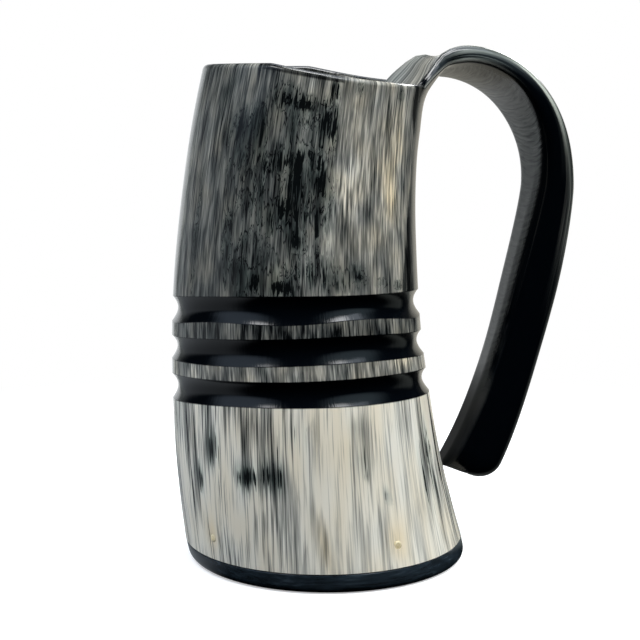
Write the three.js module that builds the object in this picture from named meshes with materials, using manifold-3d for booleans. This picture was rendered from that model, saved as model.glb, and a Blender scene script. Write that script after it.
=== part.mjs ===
// A drinking mug made of one natural horn, standing on its wide end.
// The wall carries three carved and polished grooves. The handle is a strip of the same horn: it is left
// standing at the lip, softened with heat, bent over and led down beside the wall to a thick free end.
// A wooden plug closes the wide end. Pins through the wall hold the plug, a poured floor seals it from
// above, and a black plate of flattened horn is glued on below as the foot.
// Millimetres, +Z up. The origin is the centre of the standing face, and +X points at the handle.

import * as THREE from 'three';
import { mergeVertices } from 'three/addons/utils/BufferGeometryUtils.js';
import Module from 'manifold-3d';

// Horn wall
const rimHeight = 150.8; // highest part of the lip above the table
const rimDip = 6.3; // fall of the lip on the handle's side
const footRadius = 43; // outside of the horn at its lower end
const waistRadius = 36.9; // steers the curve of the side between foot and lip
const rimRadius = 33.2; // outside of the horn at the lip
const hornBow = 8; // bow of the horn's middle, away from the handle
const rimLean = 4.2; // offset of the lip from the foot, away from the handle
const wall = 4.5; // thickness of the wall
const lipThickness = 3; // thickness of the thinned lip
const lipRun = 22; // height over which the wall thins

// Carved grooves
const grooveCount = 3;
const grooveTop = 82.5; // upper edge of the top groove
const grooveWidth = 7.5;
const grooveDepth = 1.7;
const ridgeWidth = 4.45; // uncut ring left between two grooves
const ringTilt = 3.6; // rise of the hand-cut rings at the front, and their fall at the back

// Handle strip
const handleWidth = 22.4; // width over the arch
const handleLegWidth = 18.2; // width half way down the leg
const handleEndWidth = 19; // width at the free end
const handleThickness = 5.3; // thickness over the arch
const handleEndThickness = 15.4; // thickness at the free end
const handleRise = 9.7; // top of the arch above the lip at the root
const handleRun = 11.2; // from the root to the top of the arch
const handleReach = 50.9; // from the root to the outermost face
const handleShoulder = 29.8; // fall from the lip at the root to the outermost point
const handleEndHeight = 20.2; // middle of the free end above the table
const handleEndGap = 1.9; // gap between the free end and the wall
const handleEndLean = 36.6; // degrees that the free end leans in towards the wall
const archTwist = 11.4; // degrees that the strip rolls over the arch, its front edge outwards
const legTwist = -5.3; // degrees that it rolls half way down the leg
const rootCurl = 1.5; // hollow across the strip at its root, against the hollow of the wall
const archCurl = 0.6; // the same over the arch
const rootFrontWidth = 16.5; // stretch of the lip that runs into the strip, before its middle
const rootBackWidth = 13; // the same behind its middle
const rootBlend = 11; // length over which the lip narrows and turns into the strip
const rootFlare = 4.4; // how far the wall leans out under the strip
const flareRun = 14; // height over which it leans out
const endRounding = 6; // rounding of the free end

// Foot
const plateThickness = 5.9; // black plate under the horn
const plateEdge = 2.6; // rounding of its lower edge
const glueThickness = 0.3; // cured glue between the plate and the end of the horn
const glueInset = 0.3; // how far the glue stays back from the outside
const plugThickness = 14; // wooden plug on the plate
const sealThickness = 1.6; // poured floor on the plug
const sealClimb = 2.4; // how far the floor climbs the wall at its edge
const pinDiameter = 2.4;
const pinDepth = 8; // length of a pin in the plug
const firstPinAngle = 24; // degrees round from the handle to the first pair of pins
const pinPairTurn = 80; // degrees from the first pair to the second
const fit = 0.3; // clearance round a piece that sits in a hole or a bore

// Fineness of the round shapes
const aroundSteps = 64;
const grooveSteps = 6;
const sideStep = 9; // height of one step up the plain wall
const handleSides = 20;
const handleSteps = 52;

const footTop = plateThickness + glueThickness;
const plugTop = plateThickness + plugThickness;
const sealTop = plugTop + sealThickness;
const pinHeight = plateThickness + plugThickness / 2;
const groovePitch = grooveWidth + ridgeWidth;
const bandBottom = grooveTop - grooveCount * groovePitch + ridgeWidth;
const frontAngle = THREE.MathUtils.degToRad(-95);
const dipTurn = THREE.MathUtils.degToRad(28); // the fall of the lip sits a little round to the front
const dipEnd = THREE.MathUtils.degToRad(104); // angle from its middle where the lip is level again
const flareTurn = THREE.MathUtils.degToRad(46); // angle from the handle where the wall no longer leans out
const { lerp, smoothstep } = THREE.MathUtils;

const wasm = await Module();
wasm.setup();

function solidOf(geometry) {
  geometry.deleteAttribute('normal');
  geometry.deleteAttribute('uv');
  const merged = mergeVertices(geometry);
  return new wasm.Manifold(
    new wasm.Mesh({
      numProp: 3,
      vertProperties: merged.attributes.position.array,
      triVerts: Uint32Array.from(merged.index.array),
    }),
  );
}

function geometryOf(solid) {
  const mesh = solid.getMesh();
  const geometry = new THREE.BufferGeometry();
  geometry.setAttribute('position', new THREE.BufferAttribute(mesh.vertProperties, 3));
  geometry.setIndex(new THREE.BufferAttribute(mesh.triVerts, 1));
  geometry.computeVertexNormals();
  return geometry;
}

// Moves every vertex of a geometry by a function that changes a point in place.
function reshape(geometry, move) {
  const position = geometry.attributes.position;
  const point = new THREE.Vector3();
  for (let i = 0; i < position.count; i += 1) {
    point.fromBufferAttribute(position, i);
    move(point);
    position.setXYZ(i, point.x, point.y, point.z);
  }
  return geometry;
}

// A turned shape about the Z axis from [radius, height] pairs.
function turned(profile) {
  const points = profile.map(([radius, height]) => new THREE.Vector2(radius, height));
  return new THREE.LatheGeometry(points, aroundSteps).rotateX(Math.PI / 2);
}

// Evenly spaced heights from low to high, both included.
function heights(low, high, step) {
  const count = Math.max(1, Math.round((high - low) / step));
  return Array.from({ length: count + 1 }, (_, i) => lerp(low, high, i / count));
}

// The horn's middle line is a bow: this is how far it lies along X at a height.
function middleX(z) {
  const share = z / rimHeight;
  return -rimLean * share - 4 * hornBow * share * (1 - share);
}

// Outside radius of the horn before carving.
function hornRadius(z) {
  const share = (z - footTop) / (rimHeight - footTop);
  const rest = 1 - share;
  return footRadius * rest * rest + 2 * waistRadius * share * rest + rimRadius * share * share;
}

function wallThickness(z) {
  return lerp(wall, lipThickness, smoothstep(z, rimHeight - lipRun, rimHeight));
}

function boreRadius(z) {
  return hornRadius(z) - wallThickness(z);
}

// Depth that the carving takes off the outside at a height.
function grooveCut(z) {
  const below = grooveTop - z;
  const place = below % groovePitch;
  if (below < 0 || z < bandBottom || place > grooveWidth) return 0;
  return grooveDepth * Math.sin((Math.PI * place) / grooveWidth);
}

// Share of the lip's fall at an angle round the horn.
function dipShare(angle) {
  const turn = Math.abs(Math.atan2(Math.sin(angle + dipTurn), Math.cos(angle + dipTurn)));
  const rounded = 2.2; // power that rounds the fall
  const ease = 0.06; // how softly it runs out into the level lip
  const share = Math.max(0, 1 - (turn / dipEnd) ** rounded);
  return (share * share) / (share + ease);
}

// Takes a point of the straight turned horn to its place on the bowed one.
function bowHorn(point) {
  const angle = Math.atan2(point.y, point.x);
  const towardsRim = smoothstep(point.z, grooveTop, rimHeight);
  const ringShare = smoothstep(point.z, sealTop + sealClimb, bandBottom) * (1 - towardsRim);
  const flareRise = Math.max(0, 1 - (rimHeight - point.z) / flareRun) ** 3;
  const flare = flareRise * Math.cos((Math.PI / 2) * Math.min(1, Math.abs(angle) / flareTurn)) ** 2;
  point.z += ringTilt * Math.cos(angle - frontAngle) * ringShare;
  point.z -= rimDip * dipShare(angle) * towardsRim;
  point.x += middleX(point.z) + rootFlare * flare;
}

// Shifts a piece of the foot sideways with the horn's middle line.
function leanWithHorn(point) {
  point.x += middleX(point.z);
}

function wallSolid() {
  const lipRound = lipThickness / 2;
  const lipSteps = 6;
  const outside = heights(footTop, bandBottom, sideStep);
  for (let groove = grooveCount - 1; groove >= 0; groove -= 1) {
    const top = grooveTop - groove * groovePitch;
    for (let i = 0; i <= grooveSteps; i += 1) outside.push(top - grooveWidth * (1 - i / grooveSteps));
  }
  outside.push(...heights(grooveTop, lipStart, sideStep).slice(1));
  const profile = [...new Set(outside)].map((z) => [hornRadius(z) - grooveCut(z), z]);
  const lipMiddle = hornRadius(lipStart) - lipRound;
  for (let i = 1; i < lipSteps; i += 1) {
    const turn = (Math.PI * i) / lipSteps;
    profile.push([lipMiddle + lipRound * Math.cos(turn), lipStart + lipRound * Math.sin(turn)]);
  }
  const inside = heights(footTop, lipStart, sideStep).reverse();
  profile.push(...inside.map((z) => [boreRadius(z), z]));
  profile.push(profile[0]);
  return solidOf(reshape(turned(profile), bowHorn));
}

// A point of the wall by angle and height, from -1 on its inside to 1 on its outside.
function wallPoint(angle, z, through) {
  const radius = hornRadius(z) - (wallThickness(z) / 2) * (1 - through);
  const point = new THREE.Vector3(radius * Math.cos(angle), radius * Math.sin(angle), z);
  bowHorn(point);
  return point;
}

const lipStart = rimHeight - lipThickness / 2;
const root = wallPoint(0, lipStart, 0);
const rootRise = root.clone().sub(wallPoint(0, rimHeight - lipThickness, 0)).normalize();
const rootDepth = 4; // how far the strip starts below the lip, inside the wall

// The handle's middle line: up out of the lip, over the arch, out to the shoulder and down to the end.
function handlePath() {
  const rootArms = [1.3, 0.74]; // arms of the curves, as shares of the run that each one covers
  const archArms = [0.46, 0.67];
  const legArms = [0.12, 0.27];
  const top = root.clone().add(new THREE.Vector3(handleRun, 0, handleRise - handleThickness / 2));
  const shoulderHalf = lerp(handleThickness, handleEndThickness, 0.6) / 2;
  const shoulder = root.clone().add(new THREE.Vector3(handleReach - shoulderHalf, 0, -handleShoulder));
  const lean = THREE.MathUtils.degToRad(handleEndLean);
  const inwards = new THREE.Vector3(-Math.sin(lean), 0, -Math.cos(lean));
  const endHalf = handleEndThickness / 2;
  const cornerHeight = handleEndHeight + endHalf * Math.sin(lean);
  const wallX = middleX(cornerHeight) + hornRadius(cornerHeight);
  const endX = wallX + handleEndGap + endHalf * Math.cos(lean);
  const end = new THREE.Vector3(endX, 0, handleEndHeight);
  const legLength = shoulder.distanceTo(end);
  const along = (from, x, z) => from.clone().add(new THREE.Vector3(x, 0, z));

  const path = new THREE.CurvePath();
  path.add(new THREE.LineCurve3(root.clone().addScaledVector(rootRise, -rootDepth), root));
  path.add(
    new THREE.CubicBezierCurve3(
      root,
      root.clone().addScaledVector(rootRise, rootArms[0] * (top.z - root.z)),
      along(top, -rootArms[1] * (top.x - root.x), 0),
      top,
    ),
  );
  path.add(
    new THREE.CubicBezierCurve3(
      top,
      along(top, archArms[0] * (shoulder.x - top.x), 0),
      along(shoulder, 0, archArms[1] * (top.z - shoulder.z)),
      shoulder,
    ),
  );
  path.add(
    new THREE.CubicBezierCurve3(
      shoulder,
      along(shoulder, 0, -legArms[0] * legLength),
      end.clone().addScaledVector(inwards, -legArms[1] * legLength),
      end,
    ),
  );
  return path;
}

// A value that changes along the handle, from [length, value] pairs.
function between(placed, stops) {
  const next = stops.findIndex(([length]) => placed <= length);
  if (next <= 0) return stops.at(next)[1];
  const [low, value] = stops[next - 1];
  const [high, nextValue] = stops[next];
  return lerp(value, nextValue, (placed - low) / (high - low));
}

// Size and set of the strip's section at a length along the middle line.
function stripSection(placed, [rootLength, topLength, shoulderLength, length]) {
  const endScale = 0.55; // share of the section left on the flat of the rounded end
  const archMiddle = lerp(topLength, shoulderLength, 0.5);
  const legMiddle = lerp(shoulderLength, length, 0.5);
  const overArch = smoothstep(placed, rootLength, topLength);
  const pastArch = smoothstep(placed, topLength, shoulderLength);
  const archThickness = lerp(lipThickness, handleThickness, overArch);
  const thickness = lerp(archThickness, handleEndThickness, smoothstep(placed, topLength, legMiddle));
  const width = between(placed, [
    [topLength, handleWidth],
    [legMiddle, handleLegWidth],
    [length, handleEndWidth],
  ]);
  const twist = between(placed, [
    [lerp(rootLength, topLength, 0.5), 0],
    [topLength, archTwist],
    [archMiddle, archTwist * 0.85],
    [shoulderLength, legTwist / 2],
    [legMiddle, legTwist],
    [length, 0],
  ]);
  const past = Math.max(0, placed - (length - endRounding)) / endRounding;
  return {
    halfWidth: width / 2,
    halfThickness: thickness / 2,
    curl: lerp(rootCurl, archCurl, overArch) * (1 - pastArch),
    twist: THREE.MathUtils.degToRad(twist),
    endShare: lerp(1, endScale, 1 - Math.sqrt(Math.max(0, 1 - past * past))),
    grown: smoothstep(placed, rootLength, rootLength + rootBlend),
  };
}

// A bar of squarish round section laid along the middle line. At its root it is drawn out of the lip.
function handleSolid() {
  const path = handlePath();
  const lengths = path.getCurveLengths();
  const length = lengths.at(-1);
  const squareness = 0.5; // power that makes the round section squarish
  const squarish = (value) => Math.sign(value) * Math.abs(value) ** squareness;
  const wallCurve = rimRadius - lipThickness / 2;
  const rootInset = 0.97; // keeps the buried root just inside the wall's faces

  return solidOf(
    reshape(new THREE.CylinderGeometry(1, 1, 1, handleSides, handleSteps), (point) => {
      const share = point.y + 0.5;
      const placed = share * length;
      const spot = path.getPointAt(share);
      const forward = path.getTangentAt(share);
      const { halfWidth, halfThickness, curl, twist, endShare, grown } = stripSection(placed, lengths);
      const angle = Math.atan2(point.z, point.x);
      const size = Math.hypot(point.x, point.z);
      const side = size * squarish(Math.cos(angle));
      const depth = size * squarish(Math.sin(angle));
      const across = side * endShare * halfWidth;
      const hollow = curl * (wallCurve - Math.sqrt(wallCurve ** 2 - across ** 2));
      const inner = (1 - endShare) * halfThickness;
      const offset = depth * endShare * halfThickness + inner - hollow;
      const lift = offset * Math.cos(twist) + across * Math.sin(twist);
      const turnedSide = across * Math.cos(twist) - offset * Math.sin(twist);
      const rootAngle = Math.asin((side * (side < 0 ? rootFrontWidth : rootBackWidth)) / rimRadius);
      const past = placed - lengths[0];
      const lip = wallPoint(rootAngle, lipStart + Math.min(0, past), depth * rootInset);
      lip.addScaledVector(rootRise, Math.max(0, past));
      point.set(spot.x + forward.z * lift, turnedSide, spot.z - forward.x * lift);
      point.lerp(lip, 1 - grown);
    }),
  );
}

const pinLength = wall + pinDepth;
const pinRoot = hornRadius(pinHeight) - pinLength;
const pinAngles = [0, pinPairTurn, 180, 180 + pinPairTurn].map((turn) => {
  return THREE.MathUtils.degToRad(firstPinAngle + turn);
});

// A bar along +X whose two ends lie at the given distances from the horn's middle line.
function radialBar(diameter, from, to) {
  const sides = 16;
  return new THREE.CylinderGeometry(diameter / 2, diameter / 2, to - from, sides)
    .rotateZ(-Math.PI / 2)
    .translate((from + to) / 2, 0, 0);
}

function cutPinHoles(solid) {
  return pinAngles.reduce((left, angle) => {
    const bar = radialBar(pinDiameter + 2 * fit, pinRoot - fit, footRadius + wall);
    return left.subtract(solidOf(bar.rotateZ(angle).translate(middleX(pinHeight), 0, pinHeight)));
  }, solid);
}

const mug = new THREE.Group();

function addPiece(name, geometry, color, roughness) {
  const material = new THREE.MeshStandardMaterial({ color, roughness, metalness: 0 });
  const piece = new THREE.Mesh(geometry, material);
  piece.name = name;
  mug.add(piece);
  return piece;
}

function makeHornBody() {
  const horn = cutPinHoles(wallSolid().add(handleSolid()));
  addPiece('horn_body', geometryOf(horn), 0x6f6a60, 0.3);
}

function makeBasePlate() {
  const edgeSteps = 4;
  const profile = [[0, 0]];
  for (let i = 0; i <= edgeSteps; i += 1) {
    const turn = (Math.PI / 2) * (i / edgeSteps);
    const radius = footRadius - plateEdge + plateEdge * Math.sin(turn);
    profile.push([radius, plateEdge - plateEdge * Math.cos(turn)]);
  }
  profile.push([footRadius, plateThickness], [0, plateThickness]);
  addPiece('base_plate', reshape(turned(profile), leanWithHorn), 0x0f1113, 0.28);
}

function makeGlueRing() {
  const inner = boreRadius(footTop);
  const outer = footRadius - glueInset;
  const profile = [
    [outer, plateThickness],
    [outer, footTop],
    [inner, footTop],
    [inner, plateThickness],
    [outer, plateThickness],
  ];
  addPiece('glue_ring', reshape(turned(profile), leanWithHorn), 0x2b2620, 0.4);
}

function makeBasePlug() {
  const profile = [
    [0, plateThickness],
    [boreRadius(plateThickness) - fit, plateThickness],
    [boreRadius(plugTop) - fit, plugTop],
    [0, plugTop],
  ];
  const plug = solidOf(reshape(turned(profile), leanWithHorn));
  addPiece('base_plug', geometryOf(cutPinHoles(plug)), 0xa98556, 0.7);
}

function makeFloorSeal() {
  const climbSteps = 4;
  const edgeTop = sealTop + sealClimb;
  const profile = [
    [0, plugTop],
    [boreRadius(plugTop) - fit, plugTop],
    [boreRadius(edgeTop) - fit, edgeTop],
  ];
  for (let i = 1; i <= climbSteps; i += 1) {
    const turn = (Math.PI / 2) * (i / climbSteps);
    const back = sealClimb * (1 - Math.cos(turn));
    profile.push([boreRadius(edgeTop) - fit - sealClimb / 4 - back, edgeTop - sealClimb * Math.sin(turn)]);
  }
  profile.push([0, sealTop]);
  addPiece('floor_seal', reshape(turned(profile), leanWithHorn), 0xc9b07a, 0.15);
}

function makePlugPins() {
  pinAngles.forEach((angle, i) => {
    const bar = radialBar(pinDiameter, pinRoot, hornRadius(pinHeight));
    const pin = addPiece(`plug_pin_${i + 1}`, bar, 0xcdb486, 0.6);
    pin.position.set(middleX(pinHeight), 0, pinHeight);
    pin.rotation.z = angle;
  });
}

makeHornBody();
makeBasePlate();
makeGlueRing();
makeBasePlug();
makeFloorSeal();
makePlugPins();

export default mug;
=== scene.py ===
from math import atan2, cos, exp, hypot, pi, radians, sin, sqrt

import bmesh
import bpy
from mathutils import Matrix, Vector, noise
from mathutils.geometry import interpolate_bezier


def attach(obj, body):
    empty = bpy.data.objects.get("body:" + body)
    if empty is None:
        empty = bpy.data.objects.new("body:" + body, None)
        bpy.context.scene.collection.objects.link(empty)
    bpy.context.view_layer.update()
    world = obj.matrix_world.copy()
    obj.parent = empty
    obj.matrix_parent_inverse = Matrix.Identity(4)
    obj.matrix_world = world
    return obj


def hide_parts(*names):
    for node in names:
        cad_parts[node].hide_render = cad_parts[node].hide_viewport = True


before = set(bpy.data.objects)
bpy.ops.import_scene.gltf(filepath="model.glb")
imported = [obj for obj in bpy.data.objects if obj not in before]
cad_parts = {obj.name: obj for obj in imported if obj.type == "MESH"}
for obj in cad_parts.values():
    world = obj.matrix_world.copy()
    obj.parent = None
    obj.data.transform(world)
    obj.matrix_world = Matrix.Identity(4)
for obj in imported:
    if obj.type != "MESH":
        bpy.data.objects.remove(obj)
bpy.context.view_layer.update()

# Horn wall and handle
# One length of ox horn, wide end down, with its natural bow. Three grooves are carved round it and
# polished black. The handle is a strip of the same wall: left standing at the lip, softened with heat,
# bent over and led down to a thick free end, so lip and strip are one continuous surface.
mm = 0.001
rim_height = 150.8
rim_dip = 6.3
foot_radius = 43
waist_radius = 36.9
rim_radius = 33.2
horn_bow = 8
rim_lean = 4.2
wall = 4.5
lip_thickness = 3
lip_run = 22
foot_top = 6.2
groove_count = 3
groove_top = 82.5
groove_width = 7.5
groove_depth = 1.7
ridge_width = 4.45
ring_tilt = 3.6
floor_edge = 23.9
groove_pitch = groove_width + ridge_width
band_bottom = groove_top - groove_count * groove_pitch + ridge_width
front_angle = radians(-95)


def lerp(low, high, share):
    return low + (high - low) * share


def smooth(value, low, high):
    share = min(1, max(0, (value - low) / (high - low)))
    return share * share * (3 - 2 * share)


# Distance between two directions round the horn, from 0 to pi.
def turn_between(angle, other):
    return abs(atan2(sin(angle - other), cos(angle - other)))


def middle_x(height):
    share = height / rim_height
    return -rim_lean * share - 4 * horn_bow * share * (1 - share)


def horn_radius(height):
    share = (height - foot_top) / (rim_height - foot_top)
    rest = 1 - share
    return foot_radius * rest * rest + 2 * waist_radius * share * rest + rim_radius * share * share


def wall_thickness(height):
    return lerp(wall, lip_thickness, smooth(height, rim_height - lip_run, rim_height))


# Takes a point of the straight horn to its place on the bowed one, with the hand-cut waver of the rings.
def bow_horn(point):
    dip_turn, dip_end, dip_power, dip_ease = radians(-28), radians(104), 2.2, 0.06
    flare_turn, flare_run, root_flare = radians(46), 14, 4.4
    swelling, swell_drop, swell_run = 0.95, 11, 8
    edge_waver, edge_turn, edge_run = 0.5, radians(213), 3.5
    ring_waver, waver_run = 0.22, 5.5
    ring_edge = groove_top - groove_width
    x, y, z = point
    angle = atan2(y, x)
    towards_rim = smooth(z, groove_top, rim_height)
    ring_share = smooth(z, floor_edge, band_bottom) * (1 - towards_rim)
    dip = max(0, 1 - (turn_between(angle, dip_turn) / dip_end) ** dip_power)
    dip = dip * dip / (dip + dip_ease)
    flare_rise = root_flare * max(0, 1 - (rim_height - z) / flare_run) ** 3
    flare_rise += swelling * exp(-((rim_height - z - swell_drop) / swell_run) ** 2)
    flare = flare_rise * cos(pi / 2 * min(1, abs(angle) / flare_turn)) ** 2
    near_edge = exp(-((z - ring_edge) / edge_run) ** 2)
    waver = edge_waver * near_edge * cos(5 * (angle - edge_turn))
    waver += ring_waver * (1 - near_edge) * sin(3 * angle + z / waver_run) * ring_share
    z += ring_tilt * cos(angle - front_angle) * ring_share + waver
    z -= rim_dip * dip * towards_rim
    return Vector((x + middle_x(z) + flare, y, z))


# Section of the wall: up the outside over the grooves, round the lip and down the inside.
groove_places = (0, 0.15, 0.45, 0.9, 1.5, 2.2, 3.0, 3.8, 4.6, 5.4, 6.1, 6.65, 7.1, 7.37, 7.5)
ridge_places = (0.25, 0.8, 1.6, 2.3, 3.0, 3.7, 4.2)
pin_height = 12.9
lip_round = lip_thickness / 2
lip_start = rim_height - lip_round
lip_middle = horn_radius(lip_start) - lip_round
outside = [(height, 0) for height in (foot_top, foot_top + 0.3)]
outside += [(lerp(foot_top + 1.2, band_bottom - 0.3, i / 36), 0) for i in range(37)]
for groove in reversed(range(groove_count)):
    top = groove_top - groove * groove_pitch
    for place in reversed(groove_places):
        share = place / groove_width
        outside.append((top - place, groove_depth * sin(pi * share ** 0.92)))
    if groove:
        outside += [(top + place, 0) for place in ridge_places]
outside += [(lerp(groove_top + 0.3, lip_start - 0.5, i / 54), 0) for i in range(55)]
outside.append((lip_start, 0))
section = [(horn_radius(height) - cut, height) for height, cut in outside]
for i in range(1, 12):
    turn = pi * lerp(i / 12, smooth(i / 12, 0, 1), 0.5)
    section.append((lip_middle + lip_round * cos(turn), lip_start + lip_round * sin(turn)))
inside = [lerp(lip_start, pin_height + 6, (i / 20) ** 1.3) for i in range(21)]
inside += [pin_height + offset for offset in (3, 1.2, 0, -1.2, -3)] + [foot_top]
section += [(horn_radius(height) - wall_thickness(height), height) for height in inside]

# What each vertex carries: values for the material, and for the strip its place on the straight wall.
shell = bmesh.new()
grain = shell.verts.layers.float_vector.new("grain")
tone = shell.verts.layers.float_color.new("tone")
polish = shell.verts.layers.float.new("polish")
contrast = shell.verts.layers.float.new("contrast")
across = shell.verts.layers.float.new("across")
through = shell.verts.layers.float.new("through")
brushed = shell.verts.layers.float.new("brushed")
rise = shell.verts.layers.float.new("rise")
start = shell.verts.layers.float_vector.new("start")
around = 216
ring = [shell.verts.new((radius, 0, height)) for radius, height in section]
for i, vert in enumerate(ring):
    shell.edges.new((vert, ring[i - 1]))
bmesh.ops.spin(
    shell, geom=shell.verts[:] + shell.edges[:], cent=(0, 0, 0), axis=(0, 0, 1), angle=2 * pi,
    steps=around, use_merge=True)
bmesh.ops.remove_doubles(shell, verts=shell.verts, dist=0.001)
bmesh.ops.recalc_face_normals(shell, faces=shell.faces)

# Holes for the four pins, drilled through the wall in two opposite pairs.
pin_angles = [radians(angle) for angle in (24, 104, 204, 284)]
pin_radius = 1.2
hole_fit = 0.05
level = Vector((0, 0, pin_height))


# Finds the vertices by a pin's axis and the faces at them, and rounds the faces' outline to the hole.
def mark_hole(drawn, axis, beyond, reach, radius):
    drilled = []
    for vert in drawn.verts:
        out = vert.co.dot(axis)
        if out > beyond and (vert.co - level - axis * out).length < reach:
            drilled.append(vert)
    mouth = list(dict.fromkeys(face for vert in drilled for face in vert.link_faces))
    outline = {vert for face in mouth for vert in face.verts} - set(drilled)
    for vert in outline:
        out = axis * vert.co.dot(axis)
        vert.co = level + out + (vert.co - level - out).normalized() * radius
    return drilled, mouth, outline


for angle in pin_angles:
    axis = Vector((cos(angle), sin(angle), 0))
    drilled, _, outline = mark_hole(shell, axis, 0, pin_radius + 0.15, pin_radius + hole_fit)
    bmesh.ops.delete(shell, geom=drilled, context="VERTS")
    hole = {edge for vert in outline for edge in vert.link_edges if edge.is_boundary}
    bmesh.ops.bridge_loops(shell, edges=list(hole))

# Marks in the horn: angle round it in degrees, height, half width and half height in mm, strength.
# Dark marks are torn black flames above the rings and blue-grey smudges below them.
dark_marks = [
    (-110, 123, 2.4, 7, 0.8), (-111.5, 107, 2.2, 9, 0.8), (-120, 122.7, 2.6, 3.4, 0.6),
    (-120, 107, 3.4, 3.6, 0.55), (-128, 132, 1.4, 5, 0.9), (-139, 130, 2.6, 6, 0.45),
    (-141, 96, 1.1, 8, 0.65), (-133, 90, 1.5, 7, 0.65), (-126, 88, 2.4, 3.5, 0.6),
    (-114, 85.2, 3.2, 2.2, 0.75), (-120, 142, 2.4, 3, 0.6), (-109, 141, 5, 1.6, 0.75),
    (-95.5, 147.2, 1, 2, 0.8), (-97, 134.5, 1.5, 5.5, 0.95), (-104.5, 126.7, 1.2, 1.8, 0.75),
    (-98.5, 117, 2.2, 5.5, 0.7), (-100, 105.7, 1.3, 4, 0.7), (-108, 98.7, 1.8, 2.2, 0.8),
    (-78, 87.7, 1.6, 1.4, 0.65), (-66, 85.7, 1.8, 1, 0.6), (-54, 84.5, 2, 1.2, 0.8),
    (-82, 147.7, 1.8, 2, 0.45), (-56, 147.2, 1, 1.4, 0.7), (-162, 100, 0.8, 16, 0.5),
    (-112, 139, 9, 7, 0.16), (-101, 110, 8, 16, 0.16), (-118, 88, 9, 5, 0.2), (-86, 88, 9, 5, 0.18),
    (-130, 110, 10, 14, 0.16), (-142, 128, 7, 9, 0.12), (60, 118, 3, 15, 0.9), (104, 98, 4, 9, 0.8),
    (140, 126, 3, 10, 0.8), (20, 101, 3, 8, 0.6), (82, 136, 3, 6, 0.7), (165, 92, 2, 6, 0.6),
    (-150, 39, 2, 4.5, 0.8), (-160, 31, 2.2, 4, 0.6), (-133, 33, 3.2, 3.6, 0.95),
    (-121, 33.5, 3.4, 4.2, 1.0), (-112, 44, 5, 4, 0.2), (-84, 45, 3, 3, 0.3), (-85, 37, 3, 4, 0.42),
    (-76, 27.7, 1, 2.5, 0.6), (-52, 29, 2, 9, 0.55), (-45, 37, 2, 11, 0.55), (-10, 33, 4, 8, 0.6),
    (35, 24, 2, 9, 0.6), (75, 37, 4, 6, 0.6), (120, 30, 3, 9, 0.6), (150, 40, 4, 5, 0.5),
]
# Light marks are streaky fields where the pale core of the horn shows, or with a strength below zero the
# brownish outer horn. The last number is their warmth.
light_marks = [
    (-86, 114.7, 2.4, 9, 0.34, 0.0), (-81, 118, 3, 8, 0.28, 0.0), (-94, 100.7, 1.2, 5, 0.22, 0.1),
    (-105, 87.7, 0.8, 5, 0.28, 0.1), (-99, 87.7, 0.8, 5, 0.26, 0.1), (-60, 113, 2.6, 6, 0.22, 0.4),
    (-55, 137, 2.2, 9, 0.22, 0.4), (-60, 118, 5, 24, 0.15, 0.35), (-55, 63, 5, 3, 0.5, 0.4),
    (-160, 60, 5, 3, 0.25, 0.1), (30, 120, 6, 20, 0.4, 0.4), (125, 110, 6, 18, 0.35, 0.2),
    (-95, 40, 14, 12, 0.16, 0.2), (-76, 14, 3, 5, 0.02, 0.5), (-156, 14, 2.5, 4, 0.02, 0.6),
    (-106, 14.7, 1.7, 8, -0.6, 0.6), (-102, 42, 2, 10, -0.4, 0.2), (-130, 47, 9, 7, -0.1, 0.3),
    (-84, 44, 4, 6, -0.22, 0.1), (-60, 26, 16, 16, -0.13, 0.0), (-112, 24, 8, 8, -0.12, 0.0),
]


# Strength of a mark at a place on the wall, which fades outwards from the mark's middle.
def patch(angle, height, mark):
    mark_angle, mark_height, half_width, half_height, strength = mark[:5]
    fading = 0.8
    sideways = turn_between(angle, radians(mark_angle)) * horn_radius(height) / half_width
    upwards = (height - mark_height) / half_height
    return strength * exp(-fading * (sideways * sideways + upwards * upwards))


# Paleness, darkness, lightness and warmth of the wall at an angle and height. Above the rings it is dark
# on the left and paler on the right, as far as the black side behind the handle. The front edge of that
# black side is a painted reflection of the dark handle.
dark_field, pale_field = radians(-102), radians(-84)
black_side_end = 0.7


def wall_tone(angle, height):
    rightwards = smooth(angle, dark_field, pale_field) * (1 - smooth(angle, radians(60), radians(90)))
    front_light = exp(-(turn_between(angle, radians(-107)) / 0.24) ** 2)
    pale_above = 0.29 + 0.13 * front_light + 0.2 * rightwards
    # Black horn behind the handle. Where it begins, by the right outline, it is a painted handle reflection.
    handle_reflection_edge = radians(lerp(-51, -36, (height - 84) / 47) - 12 * smooth(height, 130, 146))
    black_side_and_reflection = smooth(angle, handle_reflection_edge - 0.03, handle_reflection_edge + 0.03)
    black_side_and_reflection *= 1 - smooth(angle, black_side_end, black_side_end + 0.06)
    pale_above = lerp(pale_above, 0.02, black_side_and_reflection)
    leftwards = 1 - smooth(turn_between(angle, radians(-150)), radians(20), radians(60))
    pale_below = 0.9 - 0.12 * leftwards * smooth(height, 26, 46)
    # Painted shade of the handle: below the rings the wall is greyer beside it, and stays so round the back.
    pale_below -= 0.16 * smooth(angle, radians(-58), radians(-34))
    ring_pale = lerp(0.43, 0.25, smooth(height, 63, 70)) + 0.08 * smooth(angle, radians(-80), radians(-55))
    pale = lerp(pale_below, ring_pale, smooth(height, band_bottom - 0.5, band_bottom + 4))
    pale = lerp(pale, pale_above, smooth(height, groove_top - 12, groove_top))
    dark = min(1.3, sum(patch(angle, height, mark) for mark in dark_marks))
    below = 1 - smooth(height, band_bottom - 2, band_bottom + 2)
    pale -= 0.3 * dark * below
    amounts = [patch(angle, height, mark) for mark in light_marks]
    warmth = sum(amount / mark[4] * mark[5] for amount, mark in zip(amounts, light_marks))
    warm = 0.08 + 0.12 * rightwards + warmth
    return pale, dark, sum(amounts), warm - 0.5 * dark * below


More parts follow.
